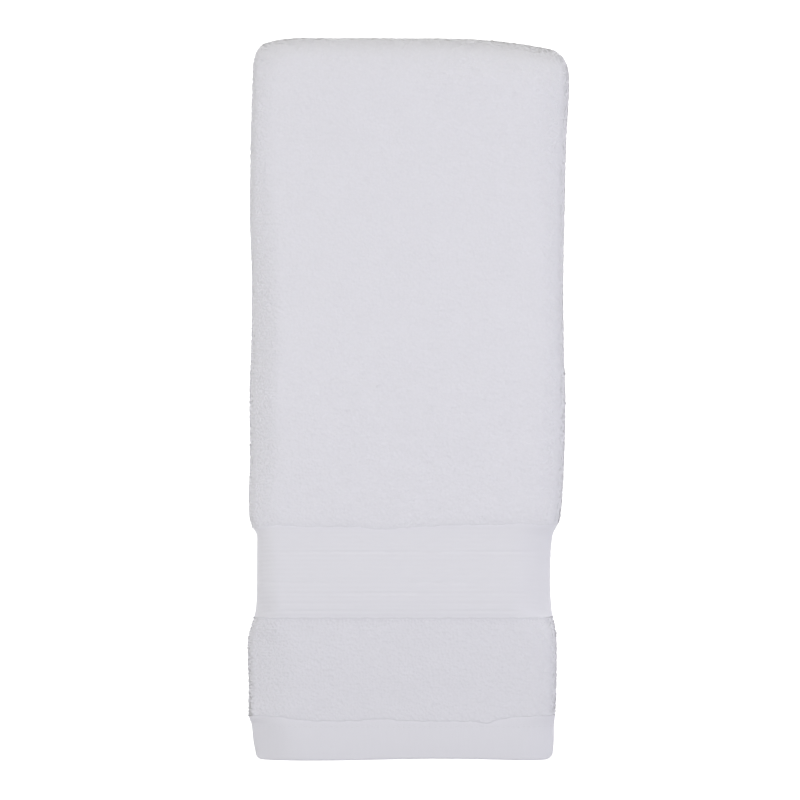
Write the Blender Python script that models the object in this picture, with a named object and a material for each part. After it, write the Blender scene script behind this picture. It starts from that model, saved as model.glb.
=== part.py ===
"""A terry hand towel, folded, as one solid sheet of cloth.

The cloth is folded in three across its width, with both sides turned in behind the
middle panel, and then once in half along its length. It lies on its back half, with
the two hems together at the front. Pile, woven border and hem are one cloth, and
differ in thickness.

Metres. +X runs to the right across the towel, +Y from the hems to the fold, +Z up.
The origin is at the middle of the footprint, on the surface that the towel lies on.
"""

import math
from collections import namedtuple

import bmesh
import bpy
from mathutils import Vector

# The cloth, flat: an 18 x 28 inch hand towel that is a little under that in width.
CLOTH_WIDTH = 0.445
CLOTH_LENGTH = 0.7112

# Thickness of the cloth in each zone, before the weight above presses it.
TERRY = 0.0034
BORDER = 0.0026
HEM = 0.0030

# Where the zones meet, as distances from a hem's edge along the cloth.
HEM_DEPTH = 0.0198
BORDER_START = 0.0699
BORDER_END = 0.1143
PILE_EDGE = 0.0007  # half the length over which the pile ends

# The folds across the width.
LAYER_GAP = 0.0005
PITCH = TERRY + LAYER_GAP  # from the middle of one layer to the next
TERRY_WIDTH = 0.1536  # of the folded towel, over the pile
LEFT_FOLD_RADIUS = PITCH / 2  # the middle panel on the first side
RIGHT_FOLD_RADIUS = PITCH  # the second side, round the free edge of the first
LEFT_FOLD = -TERRY_WIDTH / 2 + LEFT_FOLD_RADIUS + TERRY / 2
RIGHT_FOLD = TERRY_WIDTH / 2 - RIGHT_FOLD_RADIUS - TERRY / 2
PANEL = RIGHT_FOLD - LEFT_FOLD
FIRST_SIDE_SHORT = 0.0025  # the first side ends this far from the right fold
SECOND_SIDE = CLOTH_WIDTH - 2 * PANEL + FIRST_SIDE_SHORT - math.pi * (LEFT_FOLD_RADIUS + RIGHT_FOLD_RADIUS)
FOLD_STEPS = 6

# The fold across the length. Six layers turn round one line.
TURN_RADIUS = 2.5 * PITCH  # of the middle of the outer layer
TURN_HEIGHT = TURN_RADIUS + TERRY / 2
LEG = CLOTH_LENGTH / 2 - math.pi / 2 * TURN_RADIUS
FOLDED_LENGTH = LEG + TURN_HEIGHT
TURN_STEPS = 10

# Columns across the middle panel, as distances from the left and the right fold.
# The turned-in sides use the same ones, so the layers stay parallel as they settle.
FROM_LEFT = (0.003, 0.007, 0.012, 0.019, 0.042)
FROM_RIGHT = (0.066, 0.030, 0.013, 0.008, 0.0035)

# How the towel lies. left and right are its two long outlines, measured from its
# middle, and loft is the height left to the layers by their weight and the thin weave.
# The layers slope down to the two folds: a slump is the share of their height that they
# lose at a fold, and a reach is how far in from the fold the slope begins.
Row = namedtuple("Row", "from_hem left right loft left_slump left_reach right_slump right_reach")
OUTLINE = (
    Row(0.0000, -0.0745, 0.0708, 0.590, 0.58, 0.0235, 0.50, 0.0160),
    Row(0.0090, -0.0758, 0.0712, 0.605, 0.57, 0.0215, 0.48, 0.0160),
    Row(0.0175, -0.0766, 0.0712, 0.610, 0.52, 0.0180, 0.38, 0.0155),
    Row(0.0215, -0.0781, 0.0718, 0.614, 0.43, 0.0200, 0.29, 0.0145),
    Row(0.0340, -0.0781, 0.0724, 0.672, 0.46, 0.0235, 0.28, 0.0145),
    Row(0.0580, -0.0785, 0.0725, 0.805, 0.46, 0.0225, 0.35, 0.0145),
    Row(0.0655, -0.0768, 0.0716, 0.848, 0.41, 0.0145, 0.47, 0.0160),
    Row(0.0730, -0.0744, 0.0700, 0.890, 0.37, 0.0130, 0.55, 0.0190),
    Row(0.0830, -0.0738, 0.0693, 0.897, 0.29, 0.0110, 0.52, 0.0195),
    Row(0.1010, -0.0737, 0.0695, 0.876, 0.30, 0.0100, 0.47, 0.0200),
    Row(0.1100, -0.0738, 0.0705, 0.864, 0.26, 0.0100, 0.38, 0.0185),
    Row(0.1130, -0.0755, 0.0719, 0.866, 0.26, 0.0125, 0.34, 0.0170),
    Row(0.1165, -0.0772, 0.0739, 0.880, 0.28, 0.0145, 0.33, 0.0175),
    Row(0.1260, -0.0779, 0.0751, 0.905, 0.36, 0.0140, 0.39, 0.0165),
    Row(0.1500, -0.0773, 0.0763, 0.948, 0.45, 0.0165, 0.40, 0.0155),
    Row(0.1750, -0.0776, 0.0767, 0.980, 0.45, 0.0150, 0.36, 0.0145),
    Row(0.2050, -0.0766, 0.0759, 1.000, 0.45, 0.0155, 0.36, 0.0130),
    Row(0.2350, -0.0764, 0.0757, 1.000, 0.37, 0.0145, 0.36, 0.0140),
    Row(0.2650, -0.0773, 0.0763, 1.000, 0.30, 0.0135, 0.40, 0.0165),
    Row(0.3000, -0.0769, 0.0771, 1.000, 0.19, 0.0110, 0.42, 0.0190),
    Row(0.3300, -0.0761, 0.0784, 1.000, 0.20, 0.0120, 0.46, 0.0200),
    Row(0.3430, -0.0756, 0.0781, 1.000, 0.17, 0.0180, 0.43, 0.0210),
    Row(0.3520, -0.0738, 0.0758, 1.000, 0.05, 0.0200, 0.26, 0.0200),
)
BACK_INSET = 0.0008  # the hidden half is this much narrower on each side

SLUMP_POWER = 1.7  # how the slope steepens towards a fold

# The far fold is lower and further back towards the right.
TOP_SLUMP = 0.31
TOP_LEFT = 0.25  # the share of it at the left
TOP_REACH = 0.024
TOP_BACK = 0.060
FALL_POWER = 2.2
LEFT_FALL = 0.0040
LEFT_FALL_START = -0.052
LEFT_FALL_END = -0.074
RIGHT_FALL = 0.0066
RIGHT_FALL_START = 0.013
RIGHT_FALL_END = 0.076

# The hems don't end quite level, their corners draw back, and the front one rises
# a little right of its middle.
HEM_STEP_BACK = 0.0016  # each layer from the one outside it
BACK_HEM = 0.0020
HEM_CORNER = 0.0006
HEM_CORNER_REACH = 0.007
HEM_RISE = 0.0009
HEM_RISE_AT = 0.014
HEM_RISE_REACH = 0.060
HEM_SETTLES_OVER = 0.010

# Rows along one half, from the hem to the far fold, as distances from the hem's edge.
HALF_ROWS = (
    0.0, 0.003, 0.010, HEM_DEPTH - PILE_EDGE, HEM_DEPTH + PILE_EDGE, 0.0225, 0.034, 0.047,
    0.0585, 0.0645, BORDER_START - PILE_EDGE, BORDER_START + PILE_EDGE, 0.080, 0.092, 0.103,
    0.1095, BORDER_END - PILE_EDGE, BORDER_END + PILE_EDGE, 0.1195, 0.130, 0.152, 0.180,
    0.210, 0.240, 0.270, 0.297, 0.315, 0.328, 0.3345, LEG,
)

COTTON_WHITE = (0.70, 0.69, 0.74, 1.0)
COTTON_ROUGHNESS = 0.95


def smooth(share):
    """Eases 0 to 1, and holds the ends."""
    share = min(max(share, 0.0), 1.0)
    return share * share * (3 - 2 * share)


def along_rows(rows, column, place):
    """The value of a table's column at a place, on a smooth curve through its rows."""
    last = len(rows) - 2
    i = next((n for n in range(last) if place < rows[n + 1].from_hem), last)
    knots = [rows[min(max(n, 0), last + 1)] for n in (i - 1, i, i + 1, i + 2)]
    at = [knot.from_hem for knot in knots]
    value = [getattr(knot, column) for knot in knots]
    span = at[2] - at[1]
    slope_in = (value[2] - value[0]) / (at[2] - at[0])
    slope_out = (value[3] - value[1]) / (at[3] - at[1])
    t = min(max((place - at[1]) / span, 0.0), 1.0)
    rise = smooth(t)
    return (
        value[1] + (value[2] - value[1]) * rise
        + span * slope_in * t * (1 - t) ** 2
        - span * slope_out * t * t * (1 - t)
    )


def thickness_at(from_hem):
    """Thickness of the cloth at a distance from its hem."""
    for start, end, near, far in (
        (HEM_DEPTH - PILE_EDGE, HEM_DEPTH + PILE_EDGE, HEM, TERRY),
        (BORDER_START - PILE_EDGE, BORDER_START + PILE_EDGE, TERRY, BORDER),
        (BORDER_END - PILE_EDGE, BORDER_END + PILE_EDGE, BORDER, TERRY),
    ):
        if from_hem < end - 1e-6:
            share = max(0.0, (from_hem - start) / (end - start))
            return near + (far - near) * share
    return TERRY


def folded_line():
    """The middle of the cloth across its width, as (x, depth, normal) points.

    Depth is measured inwards from the outer panel. The line runs from the free edge
    of the second side, round the right fold, across the outer panel, round the left
    fold, and along the first side to its free edge.
    """
    columns = [LEFT_FOLD + distance for distance in (0.0, *FROM_LEFT)]
    columns += [RIGHT_FOLD - distance for distance in (*FROM_RIGHT, 0.0)]
    line = []
    free_edge = RIGHT_FOLD - SECOND_SIDE
    line += [(x, 2 * PITCH, (0, 1)) for x in [free_edge] + [x for x in columns[1:] if x > free_edge]]
    for step in range(1, FOLD_STEPS):
        turn = math.pi * step / FOLD_STEPS
        out = (math.sin(turn), math.cos(turn))
        line.append((
            RIGHT_FOLD + RIGHT_FOLD_RADIUS * out[0],
            RIGHT_FOLD_RADIUS + RIGHT_FOLD_RADIUS * out[1],
            out,
        ))
    line += [(x, 0.0, (0, -1)) for x in reversed(columns)]
    for step in range(1, FOLD_STEPS):
        turn = math.pi * step / FOLD_STEPS
        out = (-math.sin(turn), -math.cos(turn))
        line.append((
            LEFT_FOLD + LEFT_FOLD_RADIUS * out[0],
            LEFT_FOLD_RADIUS + LEFT_FOLD_RADIUS * out[1],
            out,
        ))
    tip = RIGHT_FOLD - FIRST_SIDE_SHORT
    line += [(x, PITCH, (0, 1)) for x in columns if x < tip] + [(tip, PITCH, (0, 1))]
    return line


def section(thickness):
    """The closed outline of the folded cloth across its width, as (x, depth) points."""
    half = thickness / 2
    line = folded_line()
    outer = [(x + half * nx, depth + half * nd) for x, depth, (nx, nd) in line]
    inner = [(x - half * nx, depth - half * nd) for x, depth, (nx, nd) in line]
    return outer + inner[::-1]


def stations():
    """Sections along the cloth, as (distance from the nearer hem, turn) pairs.

    turn is 0 on the upper half, pi on the lower half, and between them in the fold.
    """
    upper = [(s, 0.0) for s in HALF_ROWS]
    fold = []
    for step in range(1, TURN_STEPS):
        turn = math.pi * step / TURN_STEPS
        fold.append((LEG + TURN_RADIUS * min(turn, math.pi - turn), turn))
    lower = [(s, math.pi) for s in reversed(HALF_ROWS)]
    return upper + fold + lower


def stacked(x, depth, from_hem, turn):
    """A point of the flat, even stack, with the hems' edges at y = 0."""
    radius = TURN_RADIUS - depth
    return Vector((
        x,
        min(from_hem, LEG) + radius * math.sin(turn),
        TURN_HEIGHT + radius * math.cos(turn),
    ))


def slump(side, distance, from_hem):
    """The share of height lost at a distance from the left or the right fold."""
    amount = along_rows(OUTLINE, side + "_slump", from_hem)
    reach = along_rows(OUTLINE, side + "_reach", from_hem)
    return amount * max(0.0, 1 - distance / reach) ** SLUMP_POWER


def settled(point, depth, thickness, turn):
    """Where a point of the even stack comes to lie."""
    from_hem = min(max(point.y, 0.0), OUTLINE[-1].from_hem)
    hidden = (1 - math.cos(turn)) / 2
    left = along_rows(OUTLINE, "left", from_hem) + BACK_INSET * hidden
    right = along_rows(OUTLINE, "right", from_hem) - BACK_INSET * hidden
    even_left = LEFT_FOLD - LEFT_FOLD_RADIUS - thickness / 2
    even_right = RIGHT_FOLD + RIGHT_FOLD_RADIUS + thickness / 2
    x = left + (point.x - even_left) * (right - left) / (even_right - even_left)

    far = smooth((point.y - (FOLDED_LENGTH - TOP_REACH)) / TOP_REACH)
    height = along_rows(OUTLINE, "loft", from_hem)
    height *= 1 - slump("left", x - left, from_hem) - slump("right", right - x, from_hem)
    height *= 1 - TOP_SLUMP * far * (TOP_LEFT + (1 - TOP_LEFT) * smooth((x - left) / (right - left)))

    back = smooth((point.y - (FOLDED_LENGTH - TOP_BACK)) / TOP_BACK)
    left_share = max(0.0, (x - LEFT_FALL_START) / (LEFT_FALL_END - LEFT_FALL_START))
    right_share = max(0.0, (x - RIGHT_FALL_START) / (RIGHT_FALL_END - RIGHT_FALL_START))
    fall = LEFT_FALL * left_share ** FALL_POWER + RIGHT_FALL * right_share ** FALL_POWER
    near_hem = smooth(1 - from_hem / HEM_SETTLES_OVER)
    corner = max(0.0, 1 - min(x - left, right - x) / HEM_CORNER_REACH) ** 2
    rise = smooth(1 - abs(x - HEM_RISE_AT) / HEM_RISE_REACH)
    drawn_back = HEM_STEP_BACK * max(depth, 0.0) / PITCH + BACK_HEM * hidden
    drawn_back += HEM_CORNER * corner + HEM_RISE * rise
    y = point.y - back * fall + near_hem * drawn_back
    return Vector((x, y, point.z * height))


def towel_mesh():
    """The closed mesh of the folded cloth, centred on its footprint."""
    mesh = bmesh.new()
    loops = []
    for from_hem, turn in stations():
        thickness = thickness_at(from_hem)
        loops.append([
            mesh.verts.new(settled(stacked(x, depth, from_hem, turn), depth, thickness, turn))
            for x, depth in section(thickness)
        ])
    around = len(loops[0])
    for near, far in zip(loops, loops[1:]):
        for i in range(around):
            j = (i + 1) % around
            mesh.faces.new((near[i], near[j], far[j], far[i]))
    for loop in (loops[0], loops[-1]):
        for i in range(around // 2 - 1):
            mesh.faces.new((loop[i], loop[i + 1], loop[around - 2 - i], loop[around - 1 - i]))
    bmesh.ops.recalc_face_normals(mesh, faces=mesh.faces)

    low = Vector([min(v.co[k] for v in mesh.verts) for k in range(3)])
    high = Vector([max(v.co[k] for v in mesh.verts) for k in range(3)])
    middle = (low + high) / 2
    bmesh.ops.translate(mesh, verts=mesh.verts, vec=(-middle.x, -middle.y, -low.z))
    data = bpy.data.meshes.new("towel")
    mesh.to_mesh(data)
    mesh.free()
    return data


def cotton():
    """White cotton with a faint blue cast."""
    material = bpy.data.materials.new("cotton")
    material.use_nodes = True
    shader = material.node_tree.nodes["Principled BSDF"]
    shader.inputs["Base Color"].default_value = COTTON_WHITE
    shader.inputs["Roughness"].default_value = COTTON_ROUGHNESS
    shader.inputs["Metallic"].default_value = 0.0
    return material


def build():
    """Clears the scene and makes the towel."""
    for old in list(bpy.data.objects):
        bpy.data.objects.remove(old)
    towel = bpy.data.objects.new("towel", towel_mesh())
    towel.data.materials.append(cotton())
    towel.data.shade_smooth()
    bpy.context.scene.collection.objects.link(towel)


build()
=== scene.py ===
"""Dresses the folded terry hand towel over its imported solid.

The cloth is one sheet, folded in three across its width and once across its length. It
follows the same folds and the same settling as the solid. Its flat woven border and its
hems are modelled in relief, its pile is made of separate loops of yarn, and the hem has
a row of lockstitch.

Metres, in the solid's own frame: +X to the right across the towel, +Y from the hems to
the far fold, +Z up.
"""

import logging
import math
from dataclasses import dataclass, field, fields
from enum import Enum
from typing import Any, Sequence, Union

import bpy
import numpy as np
from mathutils import Matrix, Vector

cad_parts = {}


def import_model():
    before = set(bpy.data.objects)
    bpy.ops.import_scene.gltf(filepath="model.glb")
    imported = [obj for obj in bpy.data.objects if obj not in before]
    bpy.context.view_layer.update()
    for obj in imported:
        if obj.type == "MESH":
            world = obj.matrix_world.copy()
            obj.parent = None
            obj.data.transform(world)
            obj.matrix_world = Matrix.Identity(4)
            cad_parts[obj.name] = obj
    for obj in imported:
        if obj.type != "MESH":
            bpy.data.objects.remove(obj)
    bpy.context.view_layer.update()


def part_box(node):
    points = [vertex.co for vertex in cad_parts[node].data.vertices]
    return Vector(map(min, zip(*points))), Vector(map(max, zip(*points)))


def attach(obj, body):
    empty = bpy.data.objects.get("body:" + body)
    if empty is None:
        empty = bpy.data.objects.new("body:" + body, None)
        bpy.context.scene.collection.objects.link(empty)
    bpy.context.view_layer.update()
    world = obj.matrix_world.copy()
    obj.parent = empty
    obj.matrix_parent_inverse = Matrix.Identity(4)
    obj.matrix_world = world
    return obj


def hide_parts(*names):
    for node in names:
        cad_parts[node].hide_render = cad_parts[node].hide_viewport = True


Array = np.ndarray
Colour = tuple[float, float, float]
log = logging.getLogger("towel")

PHOTO_SIDE = 800  # pixels, both ways
NODE = "towel"
BODY = "root"
MAP_NAME = "OFBake"  # the cloth laid out flat, once over, for textures
WEAVE_NAME = "weave"  # metres across and along the cloth
TINY = 1e-12  # the least length that a vector is divided by
NEAR = 1e-6  # metres within which two places are the same


class Weave(Enum):
    """How a stretch of the cloth is woven. The value is its material slot."""

    PILE = 0
    BORDER = 1
    HEM = 2


class Region(Enum):
    """A stretch of the pile that is one piece."""

    LOWER = "pile_lower"
    MIDDLE_NEAR = "pile_middle_near"
    MIDDLE = "pile_middle"
    MIDDLE_FAR = "pile_middle_far"
    LEFT = "pile_left"
    RIGHT = "pile_right"
    FOLD = "pile_fold"


def smooth(share: Array) -> Array:
    """Eases 0 to 1, and holds the ends."""
    share = np.clip(share, 0.0, 1.0)
    return share * share * (3 - 2 * share)


def rounded(distance: Array, radius: float) -> Array:
    """The share of its thickness that a rounded edge has at a distance from its rim."""
    inwards = 1 - np.clip(distance / radius, 0.0, 1.0)
    return np.sqrt(1 - inwards * inwards)


def unit(vectors: Array) -> Array:
    """Vectors at length 1."""
    return vectors / np.maximum(np.linalg.norm(vectors, axis=-1, keepdims=True), TINY)


def curve_through(at: Sequence[float], values: Sequence[float], places: Array) -> Array:
    """Reads a smooth curve through points.

    Args:
        at: The points' places, in order.
        values: The curve's value at each of them.
        places: Where to read it.

    Returns:
        The curve's value at each place, held past the ends.
    """
    at, value = np.array(at), np.array(values)
    last = len(at) - 2  # the last stretch between two points
    i = np.clip(np.searchsorted(at, places, side="right") - 1, 0, last)
    before, after = np.maximum(i - 1, 0), np.minimum(i + 2, last + 1)
    span = at[i + 1] - at[i]
    slope_in = (value[i + 1] - value[before]) / (at[i + 1] - at[before])
    slope_out = (value[after] - value[i]) / (at[after] - at[i])
    t = np.clip((places - at[i]) / span, 0.0, 1.0)
    rise = value[i] + (value[i + 1] - value[i]) * smooth(t)
    return rise + span * t * (1 - t) * (slope_in * (1 - t) - slope_out * t)


# ---------------------------------------------------------------------------
# Shader maths
# ---------------------------------------------------------------------------

Operand = Union["Term", float]


class Term:
    """A value that changes over a surface. Arithmetic on it adds Math nodes."""

    def __init__(self, graph: "Graph", socket: Any) -> None:
        """Wraps an output socket of a graph's node."""
        self.graph = graph
        self.socket = socket

    def _math(self, operation: str, first: Operand, second: Operand) -> "Term":
        """Adds a Math node.

        Args:
            operation: The node's operation.
            first: Its first value.
            second: Its second value.

        Returns:
            The node's result.
        """
        node = self.graph.node("ShaderNodeMath", {"operation": operation}, {0: first, 1: second})
        return Term(self.graph, node.outputs[0])

    def __add__(self, other: Operand) -> "Term":
        """self + other."""
        return self._math("ADD", self, other)

    def __radd__(self, other: Operand) -> "Term":
        """other + self."""
        return self._math("ADD", other, self)

    def __sub__(self, other: Operand) -> "Term":
        """self - other."""
        return self._math("SUBTRACT", self, other)

    def __rsub__(self, other: Operand) -> "Term":
        """other - self."""
        return self._math("SUBTRACT", other, self)

    def __mul__(self, other: Operand) -> "Term":
        """self * other."""
        return self._math("MULTIPLY", self, other)

    def __rmul__(self, other: Operand) -> "Term":
        """other * self."""
        return self._math("MULTIPLY", other, self)

    def __pow__(self, other: Operand) -> "Term":
        """self ** other."""
        return self._math("POWER", self, other)

    def __rpow__(self, other: Operand) -> "Term":
        """other ** self."""
        return self._math("POWER", other, self)

    def sine(self) -> "Term":
        """The sine of self, in radians."""
        return self._math("SINE", self, 0.0)

    def ribs(self) -> "Term":
        """Even ribs from 0 to 1, one in each turn of self."""
        return self.sine() * 0.5 + 0.5


class Graph:
    """A new material's node tree, with its Principled shader."""

    def __init__(self, name: str) -> None:
        """Makes the material.

        Args:
            name: The material's name.
        """
        self.material = bpy.data.materials.new(name)
        self.material.use_nodes = True
        self.tree = self.material.node_tree
        self.shader = self.tree.nodes["Principled BSDF"]

    def node(self, kind: str, settings: dict[str, Any], values: dict[Any, Any]) -> Any:
        """Adds a node.

        Args:
            kind: The node's type.
            settings: Its own settings, set before its sockets.
            values: For each input socket, a number, a vector, or what feeds it.

        Returns:
            The node.
        """
        node = self.tree.nodes.new(kind)
        for name, value in settings.items():
            setattr(node, name, value)
        for key, value in values.items():
            self.feed(node.inputs[key], value)
        return node

    def feed(self, socket: Any, value: Any) -> None:
        """Links a term or an output to a socket, or sets the socket's value.

        Args:
            socket: The input socket.
            value: A term, an output socket, a number or a vector.
        """
        if isinstance(value, Term):
            self.tree.links.new(value.socket, socket)
        elif isinstance(value, bpy.types.NodeSocket):
            self.tree.links.new(value, socket)
        else:
            socket.default_value = value

    def plain(self, **values: Any) -> None:
        """Sets values of the shader that are the same all over.

        Args:
            **values: Socket names, with _ for each space, and their values.
        """
        for name, value in values.items():
            self.shader.inputs[name.replace("_", " ")].default_value = value

    def flat_place(self) -> tuple[Term, Term]:
        """The place on the flat cloth.

        Returns:
            Metres across the cloth, and metres along it.
        """
        found = self.node("ShaderNodeUVMap", {"uv_map": WEAVE_NAME}, {})
        split = self.node("ShaderNodeSeparateXYZ", {}, {0: found.outputs[0]})
        return Term(self, split.outputs[0]), Term(self, split.outputs[1])

    def noise(self, scale: float, detail: float, place: Any = None) -> Term:
        """Soft random spots.

        Args:
            scale: Spots in a metre.
            detail: Octaves of finer spots.
            place: Where to read them, or None for the object's own place.

        Returns:
            A value about 0.5.
        """
        if place is None:
            place = self.node("ShaderNodeTexCoord", {}, {}).outputs["Object"]
        spots = self.node("ShaderNodeTexNoise", {}, {"Vector": place, "Scale": scale, "Detail": detail})
        return Term(self, spots.outputs[0])

    def flat_vector(self, across: Operand, along: Operand) -> Any:
        """A vector socket of two terms.

        Args:
            across: Its X.
            along: Its Y.

        Returns:
            The output socket.
        """
        return self.node("ShaderNodeCombineXYZ", {}, {0: across, 1: along}).outputs[0]

    def colour_between(self, low: Colour, high: Colour, share: Operand) -> Any:
        """A mix of two colours.

        Args:
            low: The colour at share 0.
            high: The colour at share 1.
            share: How far between them.

        Returns:
            The output socket.
        """
        mixer = self.node(
            "ShaderNodeMix",
            {"data_type": "RGBA"},
            {"Factor": share, "A": (*low, 1.0), "B": (*high, 1.0)},
        )
        return mixer.outputs["Result"]

    def relief(self, height: Term, depth: float) -> None:
        """Feeds a bump to the shader's normal.

        Args:
            height: 0 at the bottom of the relief, 1 at its top.
            depth: Metres between the two.
        """
        bump = self.node("ShaderNodeBump", {}, {"Strength": 1.0, "Distance": depth, "Height": height})
        self.feed(self.shader.inputs["Normal"], bump.outputs[0])


# ---------------------------------------------------------------------------
# Finishes
# ---------------------------------------------------------------------------


@dataclass(frozen=True)
class PileFinish:
    """Loops of soft cotton yarn."""

    shade: Colour = (0.798, 0.790, 0.847)
    light: Colour = (0.827, 0.819, 0.877)
    patch: float = 90.0  # in a metre
    grain: float = 900.0
    patch_share: float = 0.55  # of the tone, the rest being the grain's
    roughness: float = 0.95
    sheen: float = 0.25
    sheen_roughness: float = 0.5

    def material(self) -> Any:
        """Makes the pile's material.

        Returns:
            The material.
        """
        graph = Graph("terry_pile")
        patches = self.patch_share * graph.noise(self.patch, 2.0)
        tone = patches + (1 - self.patch_share) * graph.noise(self.grain, 1.0)
        graph.feed(graph.shader.inputs["Base Color"], graph.colour_between(self.shade, self.light, tone))
        graph.plain(
            Roughness=self.roughness, Sheen_Weight=self.sheen, Sheen_Roughness=self.sheen_roughness
        )
        return graph.material


@dataclass(frozen=True)
class GroundFinish:
    """Terry where its loops are pressed flat, and the ground weave under them, with painted shade between
    loop tops.
    """

    # Painted shade: gap is the colour painted between the loops' tops, top the colour on them.
    gap: Colour = (0.798, 0.790, 0.847)
    top: Colour = (0.827, 0.819, 0.877)
    loop_pitch: float = 0.0015
    blur: float = 0.6  # of one loop's top into the next
    fibre: float = 2.2  # fine spots to a loop
    loop_share: float = 0.8  # of the relief, the rest being the fibres'
    gap_shade_power: float = 1.5
    depth: float = 0.0003
    roughness: float = 0.97

    def material(self) -> Any:
        """Makes the ground's material.

        Returns:
            The material.
        """
        graph = Graph("terry_ground")
        across, along = graph.flat_place()
        place = graph.flat_vector(across, along)
        cells = graph.node(
            "ShaderNodeTexVoronoi",
            {"voronoi_dimensions": "2D", "feature": "SMOOTH_F1"},
            {"Vector": place, "Scale": 1 / self.loop_pitch, "Smoothness": self.blur},
        )
        tops = 1 - Term(graph, cells.outputs["Distance"])
        fibres = graph.noise(self.fibre / self.loop_pitch, 1.0, place)
        height = self.loop_share * tops + (1 - self.loop_share) * fibres
        # Painted shade: the colour is darker between the loops' tops and lighter on them.
        colour = graph.colour_between(self.gap, self.top, tops**self.gap_shade_power)
        graph.feed(graph.shader.inputs["Base Color"], colour)
        graph.plain(Roughness=self.roughness)
        graph.relief(height, self.depth)
        return graph.material


@dataclass(frozen=True)
class BorderFinish:
    """The dense flat border, its weft packed into fine ribs, with painted shade in their hollows."""

    low: Colour = (0.850, 0.842, 0.904)
    high: Colour = (0.868, 0.860, 0.923)
    rib: float = 0.00062
    rib_share: float = 0.7  # of the relief, the rest being the threads'
    wander: float = 220.0  # slow bends of the ribs, in a metre across
    wander_along: float = 4.0  # how much closer they are along the cloth
    wander_by: float = 1.6  # radians
    thread: float = 0.00045
    thread_shift: float = 1.5  # radians from one rib to the next
    slub: tuple[float, float] = (60.0, 900.0)  # in a metre, across and along
    depth: float = 0.00010
    roughness: float = 0.72
    sheen: float = 0.2

    def material(self) -> Any:
        """Makes the border's material.

        Returns:
            The material.
        """
        graph = Graph("woven_border")
        across, along = graph.flat_place()
        wander = graph.noise(self.wander, 2.0, graph.flat_vector(across, along * self.wander_along))
        rib = (along * (2 * math.pi / self.rib) + wander * self.wander_by).ribs()
        thread = (across * (2 * math.pi / self.thread) + rib * self.thread_shift).ribs()
        height = rib * self.rib_share + thread * (1 - self.rib_share)
        slub = graph.noise(1.0, 2.0, graph.flat_vector(across * self.slub[0], along * self.slub[1]))
        # Half the tone is painted shade, darker where the ribs and threads lie low; half is the threads'
        # own slubs.
        share = height * 0.5 + slub * 0.5
        graph.feed(graph.shader.inputs["Base Color"], graph.colour_between(self.low, self.high, share))
        graph.plain(Roughness=self.roughness, Sheen_Weight=self.sheen)
        graph.relief(height, self.depth)
        return graph.material


@dataclass(frozen=True)
class HemFinish:
    """The turned hem's plain weave, with painted shade where its threads pass under."""

    low: Colour = (0.828, 0.820, 0.880)
    high: Colour = (0.868, 0.860, 0.923)
    thread: float = 0.00055
    slub: tuple[float, float] = (700.0, 90.0)  # in a metre, across and along
    # The share of the tone that is painted shade where the threads pass under.
    weave_shade_share: float = 0.45  # the weave's share of the tone, the rest being the slub's
    weave_relief: float = 0.75  # and its share of the relief
    depth: float = 0.00009
    roughness: float = 0.82

    def material(self) -> Any:
        """Makes the hem's material.

        Returns:
            The material.
        """
        graph = Graph("plain_hem")
        across, along = graph.flat_place()
        turns = 2 * math.pi / self.thread
        over = (across * turns).sine() * (along * turns).sine() * 0.5 + 0.5
        slub = graph.noise(1.0, 2.0, graph.flat_vector(across * self.slub[0], along * self.slub[1]))
        # The tone is partly painted shade, darker where the threads pass under, and partly the threads' own
        # slubs.
        share = over * self.weave_shade_share + slub * (1 - self.weave_shade_share)
        graph.feed(graph.shader.inputs["Base Color"], graph.colour_between(self.low, self.high, share))
        graph.plain(Roughness=self.roughness)
        graph.relief(over * self.weave_relief + slub * (1 - self.weave_relief), self.depth)
        return graph.material


@dataclass(frozen=True)
class ThreadFinish:
    """Sewing thread, a little glossier than the cloth."""

    colour: Colour = (0.86, 0.852, 0.914)
    shade: float = 0.9  # of the colour, between its fibres
    twist: float = 2600.0
    roughness: float = 0.6

    def material(self) -> Any:
        """Makes the thread's material.

        Returns:
            The material.
        """
        graph = Graph("sewing_thread")
        fibre = graph.noise(self.twist, 2.0)
        shade = tuple(self.shade * channel for channel in self.colour)
        graph.feed(graph.shader.inputs["Base Color"], graph.colour_between(shade, self.colour, fibre))
        graph.plain(Roughness=self.roughness)
        return graph.material


@dataclass(frozen=True)
class FloorFinish:
    """A plain white sweep, as bright as the photograph's background."""

    colour: Colour = (0.40, 0.40, 0.40)
    glow: float = 1.12
    roughness: float = 1.0

    def material(self) -> Any:
        """Makes the floor's material.

        Returns:
            The material.
        """
        graph = Graph("white_sweep")
        graph.plain(
            Base_Color=(*self.colour, 1.0),
            Roughness=self.roughness,
            Specular_IOR_Level=0.0,
            Emission_Color=(1.0, 1.0, 1.0, 1.0),
            Emission_Strength=self.glow,
        )
        return graph.material


# ---------------------------------------------------------------------------
# The folds
# ---------------------------------------------------------------------------


@dataclass(frozen=True)
class Row:
    """How the folded cloth lies at one distance from the hem."""

    from_hem: float
    left: float  # X of the left fold's outside
    right: float  # X of the right fold's outside
    loft: float  # its height, as a share of the even stack's
    left_slump: float  # the share of its height lost at the left fold
    left_reach: float  # how far in from the left fold it slopes
    right_slump: float  # the same at the right fold
    right_reach: float


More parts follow.
